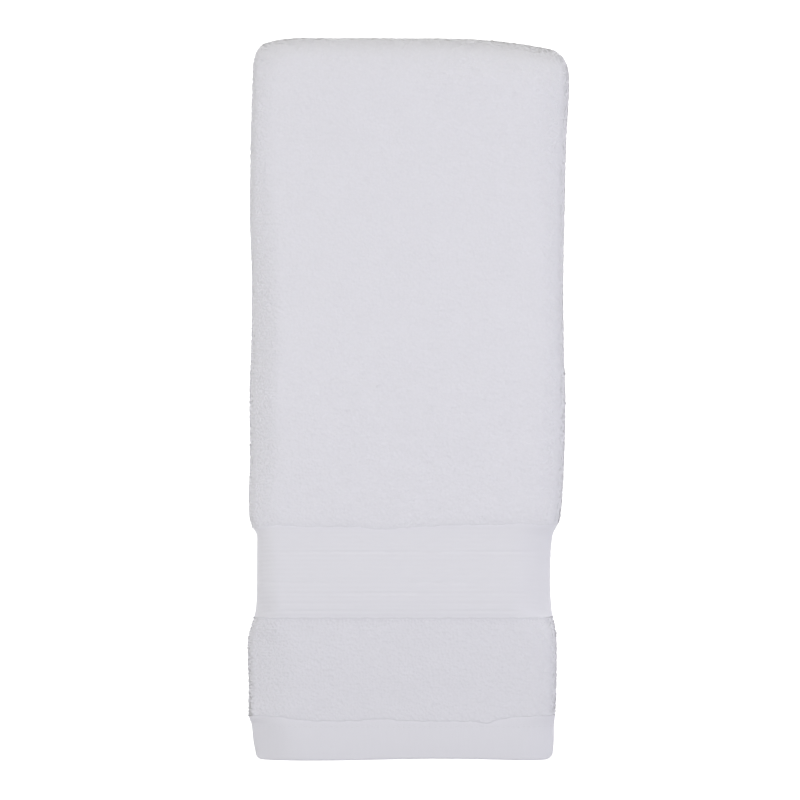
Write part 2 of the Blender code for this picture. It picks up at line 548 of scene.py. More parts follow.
OUTLINE = (
    Row(0.0000, -0.0745, 0.0708, 0.590, 0.58, 0.0235, 0.50, 0.0160),
    Row(0.0090, -0.0758, 0.0712, 0.605, 0.57, 0.0215, 0.48, 0.0160),
    Row(0.0175, -0.0766, 0.0712, 0.610, 0.52, 0.0180, 0.38, 0.0155),
    Row(0.0215, -0.0781, 0.0718, 0.614, 0.43, 0.0200, 0.29, 0.0145),
    Row(0.0340, -0.0781, 0.0724, 0.672, 0.46, 0.0235, 0.28, 0.0145),
    Row(0.0580, -0.0785, 0.0725, 0.805, 0.46, 0.0225, 0.35, 0.0145),
    Row(0.0655, -0.0768, 0.0716, 0.848, 0.41, 0.0145, 0.47, 0.0160),
    Row(0.0730, -0.0744, 0.0700, 0.890, 0.37, 0.0130, 0.55, 0.0190),
    Row(0.0830, -0.0738, 0.0693, 0.897, 0.29, 0.0110, 0.52, 0.0195),
    Row(0.1010, -0.0737, 0.0695, 0.876, 0.30, 0.0100, 0.47, 0.0200),
    Row(0.1100, -0.0738, 0.0705, 0.864, 0.26, 0.0100, 0.38, 0.0185),
    Row(0.1130, -0.0755, 0.0719, 0.866, 0.26, 0.0125, 0.34, 0.0170),
    Row(0.1165, -0.0772, 0.0739, 0.880, 0.28, 0.0145, 0.33, 0.0175),
    Row(0.1260, -0.0779, 0.0751, 0.905, 0.36, 0.0140, 0.39, 0.0165),
    Row(0.1500, -0.0773, 0.0763, 0.948, 0.45, 0.0165, 0.40, 0.0155),
    Row(0.1750, -0.0776, 0.0767, 0.980, 0.45, 0.0150, 0.36, 0.0145),
    Row(0.2050, -0.0766, 0.0759, 1.000, 0.45, 0.0155, 0.36, 0.0130),
    Row(0.2350, -0.0764, 0.0757, 1.000, 0.37, 0.0145, 0.36, 0.0140),
    Row(0.2650, -0.0773, 0.0763, 1.000, 0.30, 0.0135, 0.40, 0.0165),
    Row(0.3000, -0.0769, 0.0771, 1.000, 0.19, 0.0110, 0.42, 0.0190),
    Row(0.3300, -0.0761, 0.0784, 1.000, 0.20, 0.0120, 0.46, 0.0200),
    Row(0.3430, -0.0756, 0.0781, 1.000, 0.17, 0.0180, 0.43, 0.0210),
    Row(0.3520, -0.0738, 0.0758, 1.000, 0.05, 0.0200, 0.26, 0.0200),
)


@dataclass
class Lie:
    """How an even stack of layers settles into the towel's real outline and height."""

    rows: tuple[Row, ...] = OUTLINE
    back_inset: float = 0.0008  # of the back half's sides
    slump_power: float = 1.7
    top_slump: float = 0.31  # the share of its height lost at the far fold
    top_left: float = 0.25  # the share of that at the left
    top_reach: float = 0.024
    top_back: float = 0.060  # how far back from the far fold its corners start to fall away
    fall_power: float = 2.2
    left_fall: float = 0.0040
    left_fall_start: float = -0.052  # X
    left_fall_end: float = -0.074
    right_fall: float = 0.0066
    right_fall_start: float = 0.013
    right_fall_end: float = 0.076
    hem_step_back: float = 0.0016  # of each layer behind the outer one, at the hem
    back_hem: float = 0.0020  # how much farther in the back half's hem lies
    hem_corner: float = 0.0006  # how much farther in the hem's corners lie
    hem_corner_reach: float = 0.007
    hem_rise: float = 0.0009  # how much farther in the hem's end lies at its highest place
    hem_rise_at: float = 0.014  # X of that place
    hem_rise_reach: float = 0.060
    hem_settles_over: float = 0.010

    def along(self, column: str, places: Array) -> Array:
        """Reads a column of the rows on a smooth curve through them.

        Args:
            column: The column's name.
            places: Distances from the hem.

        Returns:
            The column's value at each place.
        """
        at = [row.from_hem for row in self.rows]
        return curve_through(at, [getattr(row, column) for row in self.rows], places)

    def slump(self, side: str, distance: Array, from_hem: Array) -> Array:
        """The share of height lost at a distance from a fold.

        Args:
            side: Which fold, left or right.
            distance: The distance.
            from_hem: How far from the hem.

        Returns:
            The share.
        """
        amount, reach = (self.along(f"{side}_{column}", from_hem) for column in ("slump", "reach"))
        return amount * np.maximum(0.0, 1 - distance / reach) ** self.slump_power

    def settle(
        self, even: Array, layers: Array, turn: Array, edges: tuple[Array, Array], length: float
    ) -> Array:
        """Moves points of the even stack to where they come to lie.

        Args:
            even: The points, as an array of X, Y and Z.
            layers: How many layers behind the outer panel each lies.
            turn: Each point's angle round the far fold.
            edges: X of the even stack's left and right edges at each point.
            length: The even stack's length.

        Returns:
            The settled points.
        """
        x0, y0, z0 = even[..., 0], even[..., 1], even[..., 2]
        from_hem = np.clip(y0, 0.0, self.rows[-1].from_hem)
        hidden = (1 - np.cos(turn)) / 2
        left = self.along("left", from_hem) + self.back_inset * hidden
        right = self.along("right", from_hem) - self.back_inset * hidden
        x = left + (x0 - edges[0]) * (right - left) / (edges[1] - edges[0])

        far = smooth((y0 - (length - self.top_reach)) / self.top_reach)
        sides = self.slump("left", x - left, from_hem) + self.slump("right", right - x, from_hem)
        height = self.along("loft", from_hem) * (1 - sides)
        across = self.top_left + (1 - self.top_left) * smooth((x - left) / (right - left))
        height = height * (1 - self.top_slump * far * across)

        back = smooth((y0 - (length - self.top_back)) / self.top_back)
        left_run = (x - self.left_fall_start) / (self.left_fall_end - self.left_fall_start)
        right_run = (x - self.right_fall_start) / (self.right_fall_end - self.right_fall_start)
        fall = self.left_fall * np.maximum(left_run, 0.0) ** self.fall_power
        fall = fall + self.right_fall * np.maximum(right_run, 0.0) ** self.fall_power

        near_hem = smooth(1 - from_hem / self.hem_settles_over)
        corner = np.maximum(0.0, 1 - np.minimum(x - left, right - x) / self.hem_corner_reach) ** 2
        rise = smooth(1 - np.abs(x - self.hem_rise_at) / self.hem_rise_reach)
        drawn = self.hem_step_back * np.maximum(layers, 0.0) + self.back_hem * hidden
        drawn = drawn + self.hem_corner * corner + self.hem_rise * rise
        return np.stack((x, y0 - back * fall + near_hem * drawn, z0 * height), axis=-1)


@dataclass
class Fold:
    """The cloth's sizes and folds, and where any place of the flat cloth comes to lie.

    A place is (across, along, out): metres from the second side's free edge across the
    cloth, metres from the front hem along it, and metres out of its middle.
    """

    width: float = 0.445
    length: float = 0.7112
    terry: float = 0.0034
    border: float = 0.0026
    hem: float = 0.0030
    hem_depth: float = 0.0198
    border_start: float = 0.0699
    border_end: float = 0.1143
    pile_edge: float = 0.0007  # half the way over which the pile ends
    layer_gap: float = 0.0005
    layers: int = 3  # in each half
    terry_width: float = 0.1536  # of the even stack
    first_side_short: float = 0.0025  # of the right fold
    tried: tuple[int, int] = (600, 800)  # places across and along that its box is found from
    lie: Lie = field(default_factory=Lie)
    shift: Array = field(default_factory=lambda: np.zeros(3))

    def __post_init__(self) -> None:
        """Works out the folds from the driving sizes."""
        self.pitch = self.terry + self.layer_gap
        self.left_radius = self.pitch / 2
        self.right_radius = self.pitch
        self.left_fold = -self.terry_width / 2 + self.left_radius + self.terry / 2
        self.right_fold = self.terry_width / 2 - self.right_radius - self.terry / 2
        self.panel = self.right_fold - self.left_fold
        self.first_side = self.panel - self.first_side_short
        arcs = math.pi * (self.left_radius + self.right_radius)
        self.second_side = self.width - self.panel - self.first_side - arcs
        self.turn_radius = (self.layers - 0.5) * self.pitch
        self.turn_height = self.turn_radius + self.terry / 2
        self.leg = self.length / 2 - math.pi / 2 * self.turn_radius
        self.folded_length = self.leg + self.turn_height
        # Where each stretch across the cloth ends.
        self.at_right_arc = self.second_side
        self.at_panel = self.at_right_arc + math.pi * self.right_radius
        self.at_left_arc = self.at_panel + self.panel
        self.at_first_side = self.at_left_arc + math.pi * self.left_radius

    def line(self, across: Array) -> tuple[Array, Array, Array, Array]:
        """The middle of the cloth across its width.

        Args:
            across: Metres from the second side's free edge.

        Returns:
            X, depth behind the outer panel, and the outward normal's two parts.
        """
        right_turn = np.clip((across - self.at_right_arc) / self.right_radius, 0.0, math.pi)
        left_turn = np.clip((across - self.at_left_arc) / self.left_radius, 0.0, math.pi)
        second = np.minimum(across, self.at_right_arc) - self.at_right_arc
        panel = np.clip(across - self.at_panel, 0.0, self.panel)
        first = np.maximum(across - self.at_first_side, 0.0)
        x = self.right_fold + second + self.right_radius * np.sin(right_turn)
        x = x - panel - self.left_radius * np.sin(left_turn) + first
        depth = self.right_radius * (1 + np.cos(right_turn)) + self.left_radius * (1 - np.cos(left_turn))
        done = np.where(across > self.at_panel, left_turn + math.pi, right_turn)
        return x, depth, np.sin(done), np.cos(done)

    def course(self, along: Array) -> tuple[Array, Array, Array]:
        """The way along the cloth.

        Args:
            along: Metres from the front hem.

        Returns:
            Metres up the leg, the angle round the far fold, and metres from the nearer hem.
        """
        turn = np.clip((along - self.leg) / self.turn_radius, 0.0, math.pi)
        from_hem = np.minimum(along, self.length - along)
        return np.minimum(from_hem, self.leg), turn, from_hem

    def thickness(self, from_hem: Array) -> Array:
        """The solid's thickness.

        Args:
            from_hem: Metres from the nearer hem.

        Returns:
            The thickness at each place.
        """
        edge = self.pile_edge
        at, thick = [], []
        for place, near, far in (
            (self.hem_depth, self.hem, self.terry),
            (self.border_start, self.terry, self.border),
            (self.border_end, self.border, self.terry),
        ):
            at += [place - edge, place + edge]
            thick += [near, far]
        return np.interp(from_hem, at, thick)

    def place(self, across: Array, along: Array, out: Array) -> Array:
        """Where places of the flat cloth come to lie.

        Args:
            across: Metres from the second side's free edge.
            along: Metres from the front hem.
            out: Metres out of the cloth's middle.

        Returns:
            The points.
        """
        across, along, out = np.broadcast_arrays(across, along, out)
        x, depth, over, under = self.line(across)
        leg, turn, from_hem = self.course(along)
        depth = depth + out * under
        radius = self.turn_radius - depth
        even = np.stack(
            (x + out * over, leg + radius * np.sin(turn), self.turn_height + radius * np.cos(turn)),
            axis=-1,
        )
        half = self.thickness(from_hem) / 2
        edges = (self.left_fold - self.left_radius - half, self.right_fold + self.right_radius + half)
        return self.lie.settle(even, depth / self.pitch, turn, edges, self.folded_length) + self.shift

    def facing(self, across: Array, along: Array) -> Array:
        """How far the even stack's outer side faces up.

        Args:
            across: Metres across the cloth.
            along: Metres from the front hem.

        Returns:
            1 where it faces up, 0 sideways, -1 down.
        """
        _, _, over, under = self.line(across)
        _, turn, _ = self.course(along)
        return -under * np.cos(turn)

    def fit(self, low: Sequence[float], high: Sequence[float]) -> None:
        """Shifts the towel to the place of its solid.

        Args:
            low: The solid's lowest corner.
            high: The solid's highest corner.
        """
        columns, rows = self.tried
        across, along = np.meshgrid(np.linspace(0, self.width, columns), np.linspace(0, self.length, rows))
        half = self.thickness(self.course(along)[2]) / 2
        points = np.concatenate([self.place(across, along, side * half).reshape(-1, 3) for side in (-1, 1)])
        middle = (points.min(0) + points.max(0)) / 2
        wanted = (np.array(low) + np.array(high)) / 2
        self.shift = np.array((wanted[0] - middle[0], wanted[1] - middle[1], low[2] - points[:, 2].min()))


# ---------------------------------------------------------------------------
# The cloth
# ---------------------------------------------------------------------------


def mesh_of(name: str, points: Array, faces: Array) -> Any:
    """Makes a mesh of faces with the same number of corners.

    Args:
        name: The mesh's name.
        points: Its points.
        faces: Its faces' points, one row a face.

    Returns:
        The mesh.
    """
    corners = faces.shape[1]
    mesh = bpy.data.meshes.new(name)
    mesh.vertices.add(len(points))
    mesh.vertices.foreach_set("co", points.astype(np.float32).ravel())
    mesh.loops.add(faces.size)
    mesh.loops.foreach_set("vertex_index", faces.astype(np.int32).ravel())
    mesh.polygons.add(len(faces))
    mesh.polygons.foreach_set("loop_start", np.arange(0, faces.size, corners, dtype=np.int32))
    mesh.polygons.foreach_set("loop_total", np.full(len(faces), corners, dtype=np.int32))
    mesh.update(calc_edges=True)
    mesh.validate()
    mesh.shade_smooth()
    return mesh


def piece_of(name: str, mesh: Any, materials: Sequence[Any]) -> Any:
    """Makes a piece of a mesh and puts it in the scene.

    Args:
        name: The piece's name.
        mesh: Its mesh.
        materials: Its materials, in the order of their slots.

    Returns:
        The piece.
    """
    piece = bpy.data.objects.new(name, mesh)
    for material in materials:
        mesh.materials.append(material)
    bpy.context.scene.collection.objects.link(piece)
    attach(piece, BODY)
    return piece


def tube_faces(count: int, rings: int, sides: int) -> Array:
    """The faces of many tubes, each a run of rings of points.

    Args:
        count: How many tubes.
        rings: Rings in a tube.
        sides: Points in a ring.

    Returns:
        The faces' points, one row a face.
    """
    i, k = np.meshgrid(np.arange(rings - 1), np.arange(sides), indexing="ij")
    here, following = i * sides + k, i * sides + (k + 1) % sides
    quads = np.stack((here, here + sides, following + sides, following), axis=-1).reshape(-1, 4)
    return (np.arange(count)[:, None, None] * rings * sides + quads).reshape(-1, 4)


def spaced(*stops: tuple[float, float]) -> list[float]:
    """Places from the first stop to the last.

    Args:
        *stops: Each a place, and the spacing from there to the next.

    Returns:
        The places, with the last stop among them.
    """
    places: list[float] = []
    for (start, gap), (end, _) in zip(stops, stops[1:]):
        count = max(1, math.ceil((end - start) / gap))
        places += [start + (end - start) * i / count for i in range(count)]
    return places + [stops[-1][0]]


@dataclass(frozen=True)
class Groove:
    """A line in the border between two woven bands."""

    from_hem: float
    width: float
    depth: float
    clear_at: float  # metres right of the middle, where it is at its clearest
    repeat: float = 0.085  # from there to the next such place
    faint: float = 0.3  # the share of its depth that is left between them

    def cut(self, right: Array, from_hem: Array) -> Array:
        """How deep the groove is.

        Args:
            right: Metres to the right of the panel's middle.
            from_hem: Metres from the nearer hem.

        Returns:
            The depth at each place.
        """
        near = smooth(1 - np.abs(from_hem - self.from_hem) / self.width)
        wave = 0.5 + 0.5 * np.cos(2 * math.pi * (right - self.clear_at) / self.repeat)
        return self.depth * near * (self.faint + (1 - self.faint) * wave)


@dataclass(frozen=True)
class PileEdge:
    """A line across the cloth where its pile ends at a flat weave."""

    from_hem: float
    pile_side: int  # 1 where the pile lies beyond the line, -1 where it lies on the hem's side
    sway: tuple[tuple[float, float], ...] = ((-0.08, 0.0), (0.08, 0.0))
    droop: float = 0.0  # how far the pile leans out over the line, or back if below 0
    droop_reach: float = 0.003
    ripple: float = 0.00022
    long_wave: float = 0.0105
    short_wave: float = 0.0067
    short_share: float = 0.7  # of the long wave's height
    phase_rate: float = 900.0  # radians in a metre from the hem, so no two lines are alike

    def line(self, right: Array) -> Array:
        """The line's distance from the hem.

        Args:
            right: Metres to the right of the panel's middle.

        Returns:
            The distances.
        """
        at, offsets = zip(*self.sway)
        phase = self.phase_rate * self.from_hem
        long = np.sin(right * 2 * math.pi / self.long_wave + phase)
        short = np.sin(right * 2 * math.pi / self.short_wave - phase)
        ripple = self.ripple * (long + self.short_share * short) / (1 + self.short_share)
        return self.from_hem + curve_through(at, offsets, right) + ripple


@dataclass
class FoldedCloth:
    """The towel's cloth: ground weave, border and hems, without its loops."""

    fold: Fold
    ground: float = 0.0026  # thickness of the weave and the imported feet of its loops
    show_from: float = -0.70  # how far down the pile may face and still stand free
    show_full: float = -0.35
    side_blend: float = 0.001  # over which the pile ends past the side folds
    rim: float = 0.0012
    rim_start: float = 0.00006  # keeps a little thickness at the very edge
    hem_round: float = 0.0014
    hem_taper: float = 0.00030  # thinner by this much at the hem's end than at its top
    taper_power: float = 1.5
    stitch_line: float = 0.0166
    stitch_dent: float = 0.00005
    stitch_reach: float = 0.0011
    pucker: float = 0.00007
    pucker_pitch: float = 0.0061
    pucker_spread: float = 5.0  # how many times as wide as the dent
    pucker_drift: float = 1.3  # radians
    drift_rate: float = 210.0  # radians in a metre
    front_spacing: float = 0.00034  # of the mesh where the relief is finest
    back_spacing: float = 0.0007
    bend_spacing: float = 0.0013
    fine_reach: float = 0.0016  # of the finest mesh past an edge of the pile
    hem_sway: tuple[tuple[float, float], ...] = (
        (-0.0750, 0.0015),
        (-0.0632, 0.0014),
        (-0.0549, 0.0005),
        (-0.0457, -0.0005),
        (-0.0233, -0.0005),
        (-0.0106, 0.0004),
        (0.0001, -0.0005),
        (0.0244, -0.0008),
        (0.0370, -0.0010),
        (0.0424, -0.0018),
        (0.0497, 0.0004),
        (0.0572, 0.0013),
        (0.0692, 0.0018),
    )
    border_sway: tuple[tuple[float, float], ...] = (
        (-0.0739, -0.0015),
        (-0.0622, 0.0005),
        (-0.0525, -0.0004),
        (-0.0208, -0.0006),
        (-0.0140, -0.0017),
        (0.0001, -0.0010),
        (0.0157, 0.0000),
        (0.0327, 0.0005),
        (0.0473, 0.0006),
        (0.0566, 0.0012),
        (0.0668, 0.0005),
    )
    grooves: tuple[Groove, ...] = (
        Groove(0.1018, 0.0012, 0.00018, -0.025),
        Groove(0.0870, 0.0011, 0.00013, 0.020),
        Groove(0.0817, 0.0015, 0.00015, -0.010),
        Groove(0.0766, 0.0011, 0.00011, 0.035),
        Groove(0.0732, 0.0013, 0.00012, -0.040),
    )

    def __post_init__(self) -> None:
        """Places the pile's edges."""
        fold = self.fold
        self.hem_edge = PileEdge(fold.hem_depth, 1, self.hem_sway, 0.35, 0.0022)
        self.start_edge = PileEdge(fold.border_start, -1, droop=-0.30, droop_reach=0.0034)
        self.end_edge = PileEdge(fold.border_end, 1, self.border_sway, 0.28, 0.0038)
        self.pile_edges = (self.hem_edge, self.start_edge, self.end_edge)

    def past(self, edge: PileEdge, across: Array, from_hem: Array) -> Array:
        """How far a place is past an edge of the pile, away from the hem."""
        fold = self.fold
        return from_hem - edge.line(fold.right_fold + fold.at_panel - across)

    def changed(self, edge: PileEdge, across: Array, from_hem: Array) -> Array:
        """How far the weave has changed at an edge of the pile, from 0 before it to 1 past it."""
        return smooth(self.past(edge, across, from_hem) / (2 * self.fold.pile_edge) + 0.5)

    def standing(self, across: Array, along: Array) -> Array:
        """How free the pile stands.

        Args:
            across: Metres across the cloth.
            along: Metres from the front hem.

        Returns:
            1 where it shows, 0 where it is pressed or hidden.
        """
        fold = self.fold
        share = smooth((fold.facing(across, along) - self.show_from) / (self.show_full - self.show_from))
        blend = self.side_blend
        inside = smooth((across - fold.at_right_arc + blend) / blend)
        return share * inside * smooth((fold.at_first_side + blend - across) / blend)

    def stands(self, across: Array, along: Array) -> Array:
        """Whether the pile stands more than half free."""
        return self.standing(across, along) > 0.5

    def outside(self, across: Array, along: Array) -> Array:
        """How far the cloth's outer side is from its middle.

        Args:
            across: Metres across the cloth.
            along: Metres from the front hem.

        Returns:
            The distance at each place.
        """
        fold = self.fold
        from_hem = fold.course(along)[2]
        pile = fold.terry / 2 + (self.ground / 2 - fold.terry / 2) * self.standing(across, along)
        at_hem, at_start, at_end = (self.changed(edge, across, from_hem) for edge in self.pile_edges)
        taper = self.hem_taper * np.maximum(0.0, 1 - from_hem / fold.hem_depth) ** self.taper_power
        hem = fold.hem / 2 - taper
        out = hem + (pile - hem) * at_hem
        out = out + (fold.border / 2 - pile) * at_start + (pile - fold.border / 2) * at_end
        right = fold.right_fold + fold.at_panel - across
        cut = sum(groove.cut(right, from_hem) for groove in self.grooves)
        return out + self.hem_relief(across, from_hem) - cut

    def hem_relief(self, across: Array, from_hem: Array) -> Array:
        """The dent of the stitches, and the puckers beside it.

        Args:
            across: Metres across the cloth.
            from_hem: Metres from the nearer hem.

        Returns:
            Metres outwards, below 0 in the dent.
        """
        off = np.abs(from_hem - self.stitch_line)
        near = np.maximum(0.0, 1 - off / self.stitch_reach)
        wide = np.maximum(0.0, 1 - off / (self.pucker_spread * self.stitch_reach))
        drift = self.pucker_drift * np.sin(across * self.drift_rate)
        ripple = np.sin(across * 2 * math.pi / self.pucker_pitch + drift)
        return -self.stitch_dent * smooth(near) + self.pucker * ripple * smooth(wide)

    def columns(self) -> Array:
        """Places across the cloth for the mesh, closest at its edges and round its folds.

        Returns:
            Metres across the cloth.
        """
        fold = self.fold
        return np.array(
            spaced(
                (0.0, 0.0004),
                (self.rim, 0.008),
                (fold.at_right_arc - 0.006, 0.0015),
                (fold.at_right_arc, 0.0009),
                (fold.at_panel, 0.0012),
                (fold.at_panel + 0.010, 0.0022),
                (fold.at_left_arc - 0.010, 0.0012),
                (fold.at_left_arc, 0.0006),
                (fold.at_first_side, 0.0015),
                (fold.at_first_side + 0.006, 0.008),
                (fold.width - self.rim, 0.0004),
                (fold.width, 1.0),
            )
        )

    def half_rows(self, finest: float) -> list[float]:
        """Places along one half of the cloth for the mesh.

        Args:
            finest: The spacing where the border's relief is finest.

        Returns:
            Metres from the hem, up to the far fold.
        """
        fold, reach = self.fold, self.fine_reach
        top_groove, next_groove = self.grooves[0].from_hem, self.grooves[1].from_hem
        return spaced(
            (0.0, finest * 0.8),
            (0.0024, finest * 4),
            (self.stitch_line - self.stitch_reach, finest),
            (self.stitch_line + self.stitch_reach, finest * 1.6),
            (fold.hem_depth - 0.001, finest),
            (fold.hem_depth + reach, 0.0030),
            (fold.border_start - reach, finest),
            (next_groove + 0.0014, 0.0016),
            (top_groove - 0.0018, finest),
            (top_groove + 0.0018, 0.0014),
            (fold.border_end - reach, finest),
            (fold.border_end + reach, 0.0040),
            (fold.leg, 1.0),
        )

    def rows(self) -> Array:
        """Places along the whole cloth for the mesh.

        Returns:
            Metres from the front hem.
        """
        fold = self.fold
        front = self.half_rows(self.front_spacing)
        back = self.half_rows(self.back_spacing)
        bend = spaced((fold.leg, self.bend_spacing), (fold.length - fold.leg, 1.0))
        return np.array(front[:-1] + bend + [fold.length - place for place in reversed(back[:-1])])

    def build(self) -> Any:
        """Builds the cloth.

        Returns:
            The cloth's piece, dressed.
        """
        fold = self.fold
        columns, rows = self.columns(), self.rows()
        across, along = np.meshgrid(columns, rows)
        from_hem = fold.course(along)[2]
        edge = rounded(np.minimum(across, fold.width - across) + self.rim_start, self.rim)
        end = rounded(from_hem + self.rim_start, self.hem_round)
        outer = fold.place(across, along, self.outside(across, along) * edge * end)
        inner = fold.place(across, along, -fold.thickness(from_hem) / 2 * edge * end)
        around = np.concatenate((outer, inner[:, ::-1]), axis=1)
        tall, wide = around.shape[:2]
        index = np.arange(tall * wide).reshape(tall, wide)
        following = np.roll(index, -1, axis=1)
        sides = np.stack((index[:-1], following[:-1], following[1:], index[1:]), axis=-1).reshape(-1, 4)
        half = wide // 2
        caps = []
        for row, flip in ((0, True), (tall - 1, False)):
            near, far = index[row, :half], index[row, :half - 1:-1]
            cap = np.stack((near[:-1], near[1:], far[1:], far[:-1]), axis=-1)
            caps.append(cap[:, ::-1] if flip else cap)
        faces = np.concatenate([sides] + caps)
        mesh = mesh_of("towel_cloth", around.reshape(-1, 3), faces)
        self.mark_weaves(mesh, across, along, len(caps[0]))
        self.lay_out(mesh, columns, rows, len(caps[0]))
        finishes = (GroundFinish().material(), BorderFinish().material(), HemFinish().material())
        cloth = piece_of("towel_cloth", mesh, finishes)
        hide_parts(NODE)
        return cloth

    def mark_weaves(self, mesh: Any, across: Array, along: Array, cap: int) -> None:
        """Gives each face the material of its weave.

        Args:
            mesh: The cloth's mesh.
            across: Metres across the cloth at each outer point.
            along: Metres along the cloth at each outer point.
            cap: Faces in each end cap.
        """
        fold = self.fold
        middle = (along[:-1] + along[1:]) / 2
        from_hem = fold.course(middle)[2]
        slots = np.full(middle.shape, Weave.PILE.value)
        at_hem, at_start, at_end = (self.past(edge, across[:-1], from_hem) > 0 for edge in self.pile_edges)
        slots[~at_hem] = Weave.HEM.value
        border = at_start & ~at_end
        slots[border] = Weave.BORDER.value
        both = np.concatenate((slots, slots[:, ::-1]), axis=1).ravel()
        both = np.concatenate((both, np.full(2 * cap, Weave.HEM.value)))
        mesh.polygons.foreach_set("material_index", both.astype(np.int32))

    def lay_out(self, mesh: Any, columns: Array, rows: Array, cap: int) -> None:
        """Lays the cloth out flat in two UV maps: one for textures, one in metres.

        Args:
            mesh: The cloth's mesh.
            columns: Places across the cloth.
            rows: Places along the cloth.
            cap: Faces in each end cap; not used.
        """
        gap = 0.004  # between the outer side, the inner side and the end caps
        width, length = self.fold.width, self.fold.length
        spread = np.concatenate((columns, 2 * width + gap - columns[::-1]))
        ends = np.append(spread, 2 * (width + gap))
        u = np.stack((ends[:-1], ends[1:], ends[1:], ends[:-1]), axis=-1)
        u = np.broadcast_to(u, (len(rows) - 1, len(spread), 4))
        v = np.stack((rows[:-1], rows[:-1], rows[1:], rows[1:]), axis=-1)
        v = np.broadcast_to(v[:, None], (len(rows) - 1, len(spread), 4))
        flat = np.stack((u, v), axis=-1).reshape(-1, 2)
        strips = []
        for number in range(2):
            start = np.stack((columns[:-1], columns[1:], columns[1:], columns[:-1]), axis=-1)
            if number == 0:
                start = start[:, ::-1]
            low = length + gap * (1 + number)
            rise = np.array((0.0, 0.0, gap / 2, gap / 2))
            rise = rise[::-1] if number == 0 else rise
            strip = np.stack((start, np.broadcast_to(low + rise, start.shape)), axis=-1)
            strips.append(strip.reshape(-1, 2))
        flat = np.concatenate([flat] + strips)
        for name, scale in ((MAP_NAME, 1 / (2 * (width + gap))), (WEAVE_NAME, 1.0)):
            layer = mesh.uv_layers.new(name=name)
            layer.data.foreach_set("uv", (flat * scale).astype(np.float32).ravel())


# ---------------------------------------------------------------------------
# The pile
# ---------------------------------------------------------------------------


@dataclass
class Loops:
    """Many loops of yarn, one entry each in every array."""

    across: Array
    along: Array
    spin: Array  # radians from the way across the cloth to the loop's own
    span: Array
    thick: Array  # half the yarn's thickness
    arch: Array  # how far its feet are below its top
    raised: Array  # how far its top is above the others'

    @staticmethod
    def joined(groups: Sequence["Loops"]) -> "Loops":
        """All the loops of several groups."""
        names = [entry.name for entry in fields(Loops)]
        return Loops(*(np.concatenate([getattr(group, name) for group in groups]) for name in names))


